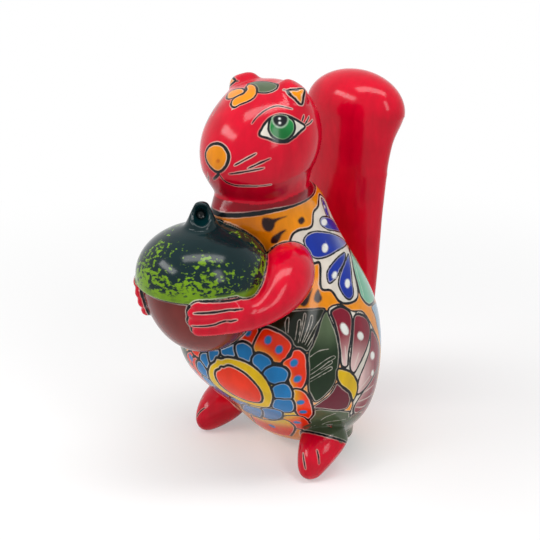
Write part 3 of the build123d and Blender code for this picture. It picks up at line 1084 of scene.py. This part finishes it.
def paint_belly_flower():
    """The large round flower on the belly. Its half out of the picture's sight mirrors the half in sight."""
    centre = behind(torso_tree, *FLOWER_MIDDLE)
    _, normal, _, _ = torso_tree.find_nearest(Vector(centre) * MM)
    normal = np.array(normal)
    flatten = patch_about(centre, normal)
    close = np.linalg.norm(points - centre, axis=1) < FLOWER_REACH
    chosen = np.nonzero(BODY & close & (normals @ normal > -0.3))[0]
    spots = flatten(points[chosen])
    start, end = flatten(places_on(torso_tree, FLOWER_AXIS))
    way = (end - start) / np.linalg.norm(end - start)
    across = np.array([-way[1], way[0]])
    across *= np.sign((flatten(places_on(torso_tree, [FLOWER_FAR]))[0] - start) @ across)

    def traced(outline):
        """An outline of picture spots, laid flat."""
        return flatten(places_on(torso_tree, outline))

    def flipped(shape):
        """The mirror image of a flat shape across the flower's axis."""
        return shape - 2 * ((shape - start) @ across)[:, None] * across

    def whole(outline):
        """An outline's half in sight with its mirror image, rounded off at both ends of the axis."""
        shape = traced(outline)
        rise = (shape - start) @ across
        half = shape[rise > 0.5]
        half = half[np.argsort(half @ way)]
        first, last = (half[[0, -1]] - start) @ across
        low = half[0] - first * across - 0.5 * first * way
        high = half[-1] - last * across + 0.5 * last * way
        return np.vstack([[low], half, [high], flipped(half)[::-1]])

    def shape_in(colour, line, shape, **fade):
        """Paints one smooth shape of the flower."""
        fill_flat(chosen, spots, curve(shape, True), colour, line, **fade)

    red_fade = {"root": (start + end) / 2, "root_colour": YELLOW, "reach": RED_FULL, "start": RED_START}
    turns = [tau * step / DOT_CORNERS for step in range(DOT_CORNERS)]
    round_dot = np.array([(RED_PETAL_DOT * cos(turn), RED_PETAL_DOT * sin(turn)) for turn in turns])
    dots = traced(RED_PETAL_DOTS)

    shape_in(YELLOW, 0, whole(FLOWER_GROUND))
    for outline in RED_RING_PETALS[MIRRORED_RED]:
        shape_in(SCARLET, LINE, flipped(traced(outline)), grow=RED_SWELL, **red_fade)
    for outline in RED_RING_PETALS:
        shape_in(SCARLET, LINE, traced(outline), grow=RED_SWELL, **red_fade)
    for dot in np.vstack([dots, flipped(dots[MIRRORED_DOTS])]):
        fill_flat(chosen, spots, round_dot + dot, SKY, 0)
    for outline in BLUE_RING_PETALS[MIRRORED_BLUE]:
        shape_in(SKY, LINE, flipped(traced(outline)), grow=BLUE_SWELL)
    for outline in BLUE_RING_PETALS:
        shape_in(SKY, LINE, traced(outline), grow=BLUE_SWELL)
    shape_in(YELLOW, LINE, whole(FLOWER_RING))
    shape_in(SCARLET, LINE, whole(FLOWER_DISC), grow=DISC_SWELL)


def paint_body():
    """Flowers, leaves and drops on the torso: the picture's own, mirrored too, and a few out of its sight."""
    tree = torso_tree
    area = BODY
    for drop in BROWN_DROPS + BACK_DROPS:
        fill(area, tree, drop, DROP, 0)
    fill(area, tree, BACK_LEAF, TURQUOISE, LINE)
    brush(scratch, area, tree, BACK_VEIN, VEIN_SCRATCH)
    fill(area, tree, BACK_PATCH, MIST, THIN)

    fill(area, tree, WHITE_GROUND, CREAM, LINE)
    for outline, dot in zip(BLUE_PETALS, BLUE_DOTS):
        fill(area, tree, outline, COBALT, THIN, BLUE_HEART, PALE_BLUE, reach=0.55)
        fill(area, tree, oval(*dot), WHITE, 0)

    fill(area, tree, DARK_LEAF, NIGHT_LEAF, THIN)
    for vein in NIGHT_VEINS:
        brush(scratch, area, tree, vein, FINE_SCRATCH)
    # The green leaf carries a painted highlight in sage towards its top
    fill(area, tree, GREEN_LEAF, LEAF, THIN, GREEN_LEAF_HIGHLIGHT, SAGE, reach=0.45)
    for vein in LEAF_VEINS:
        brush(scratch, area, tree, vein, FINE_SCRATCH)
    fill(area, tree, GREY_LEAF, SAGE, THIN, GREY_LEAF_FOOT, MOSS, reach=0.9)
    for vein in SAGE_VEINS:
        brush(scratch, area, tree, vein, SCRATCH)
    # The side leaf carries the same painted highlight in sage towards its top
    fill(area, tree, SIDE_LEAF, LEAF, THIN, SIDE_LEAF_HIGHLIGHT, SAGE, reach=0.5, sides=1)
    fill(area, tree, LOW_LEAF, SAGE, THIN, sides=1)
    for vein in SIDE_VEINS:
        brush(scratch, area, tree, vein, SCRATCH, sides=1)

    fill(area, tree, PALE_GROUND, CREAM, THIN)
    for outline in MAROON_PETALS:
        fill(area, tree, outline, MAROON, LINE, MAROON_HEART, PINK, reach=0.75)
    for streak in MAROON_STREAKS:
        brush(scratch, area, tree, streak, STREAK_SCRATCH)
    for dot in MAROON_DOTS:
        fill(area, tree, oval(*dot), WHITE, 0)
    fill(area, tree, DARK_SEPAL, SEPAL, THIN)
    fill(area, tree, YELLOW_CUP, YELLOW, LINE)


def paint_head():
    """Painted shade on the underside of the head, the face, the scroll and leaf on the forehead, and the
    ears' orange triangles.
    """
    tree = figure_tree
    area = HEAD
    # Painted shade: the head's red turns towards wine where its skin faces down, partly standing for the
    # glaze's own browner patches there
    chin_shade = (ramp(-normals[:, 2], *CHIN_SHADE_TURN) * CHIN_SHADE_SHARE * HEAD)[:, None]
    wash[:] = wash * (1 - chin_shade) + WINE_SHADE * chin_shade

    fill(area, tree, FOREHEAD_LEAF, SAGE, FACE_LINE, sides=1)
    for scroll in SCROLLS:
        fill(area, tree, scroll, ORANGE, FACE_LINE, sides=1)
    brush(scratch, area, tree, SCROLL_TAIL, TAIL_SCRATCH, sides=1)

    fill(area, tree, EAR_TRIANGLE, ORANGE, FACE_LINE)
    brush(ink, area, tree, EAR_LINE, EAR_STROKE)

    fill(area, tree, EYE_WHITE, CREAM, LINE)
    fill(area, tree, EYE_IRIS, IRIS, FACE_LINE, IRIS_FOOT, DEEP_IRIS, reach=0.9)
    fill(area, tree, PUPIL_RIM, GLASS, 0)
    fill(area, tree, PUPIL, INK, 0)
    for glint in GLINTS:
        fill(area, tree, oval(*glint), WHITE, 0)
    brush(ink, area, tree, BROW, HAIR_LINE)
    for lash in LASHES:
        brush(ink, area, tree, lash, HAIR_LINE)

    fill(area, tree, NOSE, NOSE_GOLD, NOSE_LINE, sides=1)
    brush(ink, area, tree, NOSE_SIDE, NOSE_SHADE, sides=1)
    fill(area, tree, oval(*NOSTRIL), AMBER, 0, sides=1)
    brush(ink, area, tree, MOUTH, MOUTH_LINE, sides=1)
    brush(ink, area, tree, SMILE, HAIR_LINE, far_shift=FAR_SHIFT)
    for hair in WHISKERS:
        brush(ink, area, tree, hair, THIN, far_shift=FAR_SHIFT)


def evened(seam, reach=2.4):
    """The places of a seam, each moved to the middle of the seam near it."""
    tree = KDTree(len(seam))
    for number, spot in enumerate(seam):
        tree.insert(spot, number)
    tree.balance()
    return np.array([np.mean([found[0] for found in tree.find_range(spot, reach)], axis=0) for spot in seam])


def paint_joints():
    """Black lines along the joints, between fingers and toes, the leaf over the foot, and painted shade in
    the stem's dish.
    """
    for width, pairs in JOINT_LINES:
        seam = evened(points[between(owner, edges, *pairs)].mean(1))
        away = distance_to(points, seam, 4)
        np.minimum(ink, away - width / 2, out=ink)
    low = BODY | FEET
    fill(low, figure_tree, FOOT_LEAF, SAGE, 0, GREY_LEAF_FOOT, MOSS, reach=0.9, facing=-0.6)
    brush(ink, low, figure_tree, FOOT_EDGE, LINE, taper=0.8)
    arms = owned("left_arm", "right_arm")
    for line in FINGER_LINES:
        brush(ink, arms, figure_tree, line, FINGER_LINE)
    for toe in TOE_LINES:
        brush(ink, FEET, figure_tree, toe, HAIR_LINE)
    # Painted shade: the stem's dish is turned towards near black
    stem = owned("acorn_stem")
    dish = behind(figure_tree, *DISH)
    dish_shading = (ramp(np.linalg.norm(points - dish, axis=1), *DISH_SHADE) * DISH_SHADE_SHARE * stem)[:, None]
    wash[:] = wash * (1 - dish_shading) + PITCH_SHADE * dish_shading


paint_grounds()
paint_body()
paint_belly_flower()
paint_collar()
paint_head()
paint_joints()


def keep_layer(piece, name, kind, values, field):
    """Writes one value per point into the mesh for the materials."""
    layer = piece.data.attributes.new(name, kind, "POINT")
    layer.data.foreach_set(field, np.ascontiguousarray(values, dtype=np.float32).ravel())


keep_layer(figure, "wash", "FLOAT_COLOR", np.hstack([wash, np.ones((len(wash), 1))]), "color")
keep_layer(figure, "ink", "FLOAT", ink, "value")
keep_layer(figure, "scratch", "FLOAT", scratch, "value")


def add(tree, kind, inputs=(), **settings):
    """Adds a node, sets it up and joins or fills its inputs."""
    made = tree.nodes.new(kind)
    for name, value in settings.items():
        setattr(made, name, value)
    for socket, value in dict(inputs).items():
        if isinstance(value, bpy.types.NodeSocket):
            tree.links.new(value, made.inputs[socket])
        else:
            made.inputs[socket].default_value = value
    return made


def maths(tree, operation, first, second=0.0):
    """One step of arithmetic between two values."""
    return add(tree, "ShaderNodeMath", {0: first, 1: second}, operation=operation).outputs[0]


def mapped(tree, value, low, high, to_low=0.0, to_high=1.0):
    """A value carried smoothly from one span to another."""
    return add(
        tree,
        "ShaderNodeMapRange",
        {"Value": value, "From Min": low, "From Max": high, "To Min": to_low, "To Max": to_high},
        interpolation_type="SMOOTHSTEP",
    ).outputs["Result"]


def blend(tree, share, under, over, mode="MIX"):
    """Two colours laid over each other."""
    mixed = add(tree, "ShaderNodeMix", {0: share, 6: under, 7: over}, data_type="RGBA", blend_type=mode)
    return mixed.outputs[2]


def noise(tree, place, size, detail=2.0, stretch=None):
    """Soft noise with features of about this size in metres."""
    if stretch:
        place = add(tree, "ShaderNodeMapping", {"Vector": place, "Scale": stretch}).outputs[0]
    settings = {"Vector": place, "Scale": 1 / size, "Detail": detail}
    return add(tree, "ShaderNodeTexNoise", settings).outputs["Fac"]


def rgba(colour):
    """A colour for a socket."""
    return (*[float(part) for part in colour], 1.0)


def glaze(name, ground=None):
    """A shiny painted glaze: washes with brush streaks, scratches and black lines with pale margins."""
    material = bpy.data.materials.new(name)
    material.use_nodes = True
    tree = material.node_tree
    shader = tree.nodes["Principled BSDF"]
    place = add(tree, "ShaderNodeTexCoord").outputs["Object"]
    paint = add(tree, "ShaderNodeAttribute", attribute_name="wash").outputs["Color"]
    line = add(tree, "ShaderNodeAttribute", attribute_name="ink").outputs["Fac"]
    cut = add(tree, "ShaderNodeAttribute", attribute_name="scratch").outputs["Fac"]
    if ground:
        paint = ground(tree, place, paint)
    streak = noise(tree, place, STREAK_SIZE, detail=3.0, stretch=(1.0, 1.0, 0.35))
    pool = noise(tree, place, POOL_SIZE)
    streaked = mapped(tree, streak, 0.25, 0.75, -0.09, 0.09)
    pooled = mapped(tree, pool, 0.3, 0.7, 0.92, 1.06)
    shade = maths(tree, "ADD", streaked, pooled)
    paint = add(tree, "ShaderNodeHueSaturation", {"Value": shade, "Color": paint}).outputs[0]
    waver = mapped(tree, noise(tree, place, WAVER_SIZE, detail=1.0), 0.2, 0.8, -0.12, 0.12)
    edge = maths(tree, "ADD", line, waver)
    margin = maths(tree, "MULTIPLY", mapped(tree, edge, 0.75, 0.3), mapped(tree, pool, 0.35, 0.65, 0.1, 0.6))
    paint = blend(tree, margin, paint, rgba(CREAM))
    scratched = mapped(tree, maths(tree, "ADD", cut, waver), 0.2, -0.15, 0.0, 0.55)
    paint = blend(tree, scratched, paint, rgba(CREAM))
    black = mapped(tree, edge, 0.22, -0.22)
    paint = blend(tree, black, paint, rgba(INK))
    tree.links.new(paint, shader.inputs["Base Color"])
    raised = maths(tree, "MULTIPLY", black, 0.12)
    ripple = maths(tree, "ADD", noise(tree, place, RIPPLE_SIZE, detail=1.0), raised)
    settings = {"Strength": 0.12, "Distance": RIPPLE_HEIGHT, "Height": ripple}
    bump = add(tree, "ShaderNodeBump", settings).outputs[0]
    tree.links.new(bump, shader.inputs["Normal"])
    shader.inputs["Roughness"].default_value = ROUGHNESS
    shader.inputs["Specular IOR Level"].default_value = SHINE
    return material


def sponged(tree, place, paint):
    """The cap's dark ground, sponged with lime that thickens to a band at the rim and ends below the stem."""
    height = add(tree, "ShaderNodeSeparateXYZ", {0: place}).outputs["Z"]
    rim = mapped(tree, height, *RIM_BAND, 0.0, 0.8)
    dabs = noise(tree, place, DAB_SIZE, detail=6.0, stretch=(1.0, 1.0, 1.5))
    clusters = maths(tree, "MULTIPLY", noise(tree, place, CLUSTER_SIZE, detail=1.0), 0.6)
    low = mapped(tree, height, *DAB_THICKENING, -0.02, 0.13)
    mixed = maths(tree, "ADD", maths(tree, "ADD", dabs, low), clusters)
    dab = maths(tree, "MULTIPLY", mapped(tree, mixed, 0.89, 1.0), mapped(tree, height, *DAB_TOP))
    share = maths(tree, "MAXIMUM", dab, rim)
    return blend(tree, maths(tree, "MULTIPLY", share, 0.85), paint, rgba(LIME))


MATERIALS = {
    "painted_glaze": glaze("painted_glaze"),
    "red_glaze": glaze("red_glaze"),
    "acorn_cap_glaze": glaze("acorn_cap_glaze", sponged),
    "acorn_nut_glaze": glaze("acorn_nut_glaze"),
}


def layer_of(piece, name, field, width):
    """One value or colour per point, read back from the mesh."""
    flat = np.empty(len(piece.data.vertices) * width, dtype=np.float32)
    piece.data.attributes[name].data.foreach_get(field, flat)
    return flat.reshape(-1, width)


def thinned(piece, limit):
    """Thins a piece's mesh where its paint is plain, down to a count of triangles."""
    corners = np.empty(len(piece.data.polygons), dtype=np.int32)
    piece.data.polygons.foreach_get("loop_total", corners)
    count = int((corners - 2).sum())
    if count <= limit:
        return
    busy = layer_of(piece, "ink", "value", 1)[:, 0] < INK_KEPT
    busy |= layer_of(piece, "scratch", "value", 1)[:, 0] < SCRATCH_KEPT
    colour = layer_of(piece, "wash", "color", 4)
    pairs = edges_of(piece)
    step = np.abs(colour[pairs[:, 0]] - colour[pairs[:, 1]]).max(1)
    busy[pairs[step > WASH_STEP].ravel()] = True
    group = piece.vertex_groups.new(name="plain")
    group.add(np.nonzero(~busy)[0].tolist(), 1.0, "REPLACE")
    apply_modifier(piece, "DECIMATE", ratio=limit / count, vertex_group="plain")
    piece.vertex_groups.clear()


def parted(piece):
    """The figure parted at the joints, one closed skin for every clay piece."""
    mesh = piece.data
    mesh.materials.clear()
    for node in NODES:
        mesh.materials.append(bpy.data.materials.new("owner_" + node))
    corners = np.empty(len(mesh.loops), dtype=np.int32)
    mesh.loops.foreach_get("vertex_index", corners)
    starts = np.empty(len(mesh.polygons), dtype=np.int32)
    mesh.polygons.foreach_get("loop_start", starts)
    mesh.polygons.foreach_set("material_index", owner[corners[starts]].astype(np.int32))
    mesh.polygons.foreach_set("use_smooth", np.ones(len(starts), dtype=bool))
    select_only(piece)
    bpy.ops.object.mode_set(mode="EDIT")
    bpy.ops.mesh.separate(type="MATERIAL")
    bpy.ops.object.mode_set(mode="OBJECT")
    found = {}
    for part in list(bpy.context.selected_objects):
        found[part.data.materials[0].name.removeprefix("owner_")] = part
    for node, part in found.items():
        select_only(part)
        bpy.ops.object.mode_set(mode="EDIT")
        bpy.ops.mesh.select_mode(type="EDGE")
        bpy.ops.mesh.select_all(action="DESELECT")
        bpy.ops.mesh.select_non_manifold()
        bpy.ops.mesh.mark_sharp()
        bpy.ops.mesh.fill_holes(sides=0)
        bpy.ops.mesh.select_mode(type="FACE")
        bpy.ops.mesh.select_all(action="DESELECT")
        bpy.ops.mesh.select_face_by_sides(number=HOLE_SIDES, type="GREATER", extend=False)
        bpy.ops.mesh.poke(center_mode="MEDIAN")
        bpy.ops.object.mode_set(mode="OBJECT")
        thinned(part, TRIANGLE_LIMIT)
        part.name = node + "_skin"
        part.data.materials.clear()
    return found


skins = parted(figure)
for slot, nodes in SLOTS.items():
    for node in nodes:
        skins[node].data.materials.append(MATERIALS[slot])
        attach(skins[node], "root")
        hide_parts(node)


def in_sight(tree):
    """1 for rays that see a thing straight, in a reflection or through glass, and 0 for rays that light."""
    path = add(tree, "ShaderNodeLightPath")
    seen = maths(tree, "MAXIMUM", path.outputs["Is Camera Ray"], path.outputs["Is Glossy Ray"])
    return maths(tree, "MAXIMUM", seen, path.outputs["Is Transmission Ray"])


def set_camera():
    """The camera at the photograph's angle."""
    eye, _, _, back = camera_axes()
    lens = bpy.data.cameras.new("camera")
    lens.lens = CAMERA_LENS
    lens.sensor_width = SENSOR
    camera = bpy.data.objects.new("camera", lens)
    camera.location = eye
    camera.rotation_euler = (-back).to_track_quat("-Z", "Y").to_euler()
    bpy.context.collection.objects.link(camera)
    bpy.context.scene.camera = camera
    bpy.context.scene.view_settings.view_transform = "Standard"


def set_world():
    """A white surround that gives little light."""
    world = bpy.data.worlds.new("studio")
    world.use_nodes = True
    tree = world.node_tree
    surround = tree.nodes["Background"]
    surround.inputs["Color"].default_value = (1, 1, 1, 1)
    tree.links.new(mapped(tree, in_sight(tree), 0.0, 1.0, WORLD_LIGHT, 1.0), surround.inputs["Strength"])
    bpy.context.scene.world = world


def set_floor():
    """A pale floor that turns white away from the figure."""
    bpy.ops.mesh.primitive_plane_add(size=FLOOR_SIZE)
    floor = bpy.context.object
    floor.name = "floor"
    pale = bpy.data.materials.new("pale_floor")
    pale.use_nodes = True
    tree = pale.node_tree
    place = add(tree, "ShaderNodeTexCoord").outputs["Object"]
    shader = tree.nodes["Principled BSDF"]
    tree.links.new(blend(tree, noise(tree, place, FLOOR_CLOUD), *FLOOR_TONES), shader.inputs["Base Color"])
    shader.inputs["Roughness"].default_value = FLOOR_ROUGHNESS
    away = add(tree, "ShaderNodeVectorMath", {0: place}, operation="LENGTH").outputs["Value"]
    share = maths(tree, "MULTIPLY", in_sight(tree), mapped(tree, away, *FLOOR_FADE, *FLOOR_GLOW))
    glow = add(tree, "ShaderNodeEmission", {"Color": (1, 1, 1, 1), "Strength": 1.0}).outputs[0]
    mixed = add(tree, "ShaderNodeMixShader", {0: share, 1: shader.outputs[0], 2: glow}).outputs[0]
    tree.links.new(mixed, tree.nodes["Material Output"].inputs["Surface"])
    floor.data.materials.append(pale)


def set_lamps():
    """Strip lamps, all turned to the figure."""
    for name, (place, wide, tall, watts) in LAMPS.items():
        lamp = bpy.data.lights.new(name, "AREA")
        lamp.energy = watts
        lamp.shape = "RECTANGLE"
        lamp.size = wide
        lamp.size_y = tall
        holder = bpy.data.objects.new(name, lamp)
        holder.location = place
        holder.rotation_euler = (LAMP_AIM - Vector(place)).to_track_quat("-Z", "Y").to_euler()
        bpy.context.collection.objects.link(holder)


set_camera()
set_world()
set_floor()
set_lamps()
